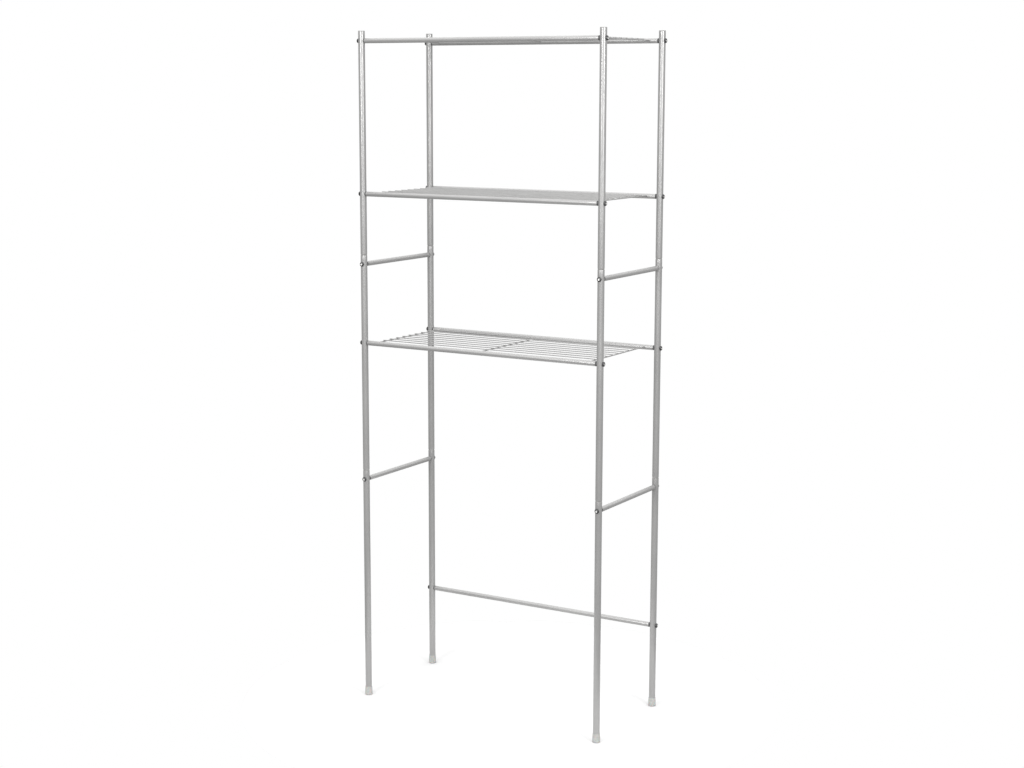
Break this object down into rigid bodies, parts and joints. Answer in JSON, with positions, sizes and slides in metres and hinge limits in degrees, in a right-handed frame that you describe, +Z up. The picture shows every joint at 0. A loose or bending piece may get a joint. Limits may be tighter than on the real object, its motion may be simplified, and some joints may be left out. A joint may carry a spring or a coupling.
{
  "type": "over the toilet storage rack",
  "caption": "Free-standing bathroom rack that straddles a toilet: slim tube posts carry wire shelves above it, tied by side bars and a low back brace.",
  "frame": {"origin": "on the floor, at the centre of the rack's bounding box, midway between the four posts", "axes": "+Z up along the posts, +X to the right as seen from the front, +Y from the front to the back, towards the wall"},
  "size_m": [0.6316, 0.2966, 1.5432],
  "materials": {
    "frame_coat": "satin silver-grey powder coat on thin steel tube and welded wire",
    "bolt_plate": "satin black nickel plate on steel, bright in the hexagon socket",
    "plug_plastic": "satin moulded plastic, charcoal",
    "cap_plastic": "satin moulded plastic, grey",
    "foot_plastic": "soft milky plastic, slightly translucent"
  },
  "bodies": {
    "root": {"front_left_post_bottom": "frame_coat", "front_left_post_middle": "frame_coat", "front_left_post_top": "frame_coat", "front_left_post_cap": "cap_plastic", "front_left_foot": "foot_plastic", "front_right_post_bottom": "frame_coat", "front_right_post_middle": "frame_coat", "front_right_post_top": "frame_coat", "front_right_post_cap": "cap_plastic", "front_right_foot": "foot_plastic", "back_left_post_bottom": "frame_coat", "back_left_post_middle": "frame_coat", "back_left_post_top": "frame_coat", "back_left_post_cap": "cap_plastic", "back_left_foot": "foot_plastic", "back_right_post_bottom": "frame_coat", "back_right_post_middle": "frame_coat", "back_right_post_top": "frame_coat", "back_right_post_cap": "cap_plastic", "back_right_foot": "foot_plastic", "top_shelf_front_tube": "frame_coat", "top_shelf_back_tube": "frame_coat", "top_shelf_wire_deck": "frame_coat", "middle_shelf_front_tube": "frame_coat", "middle_shelf_back_tube": "frame_coat", "middle_shelf_wire_deck": "frame_coat", "bottom_shelf_front_tube": "frame_coat", "bottom_shelf_back_tube": "frame_coat", "bottom_shelf_wire_deck": "frame_coat", "left_lower_side_bar": "frame_coat", "right_lower_side_bar": "frame_coat", "left_upper_side_bar": "frame_coat", "right_upper_side_bar": "frame_coat", "back_brace_bar": "frame_coat", "top_shelf_plugs": "plug_plastic", "top_shelf_bolts": "bolt_plate", "middle_shelf_plugs": "plug_plastic", "middle_shelf_bolts": "bolt_plate", "bottom_shelf_plugs": "plug_plastic", "bottom_shelf_bolts": "bolt_plate", "upper_side_bar_plugs": "plug_plastic", "upper_side_bar_bolts": "bolt_plate", "lower_side_bar_plugs": "plug_plastic", "lower_side_bar_bolts": "bolt_plate", "back_brace_plugs": "plug_plastic", "back_brace_bolts": "bolt_plate"}
  },
  "joints": []
}
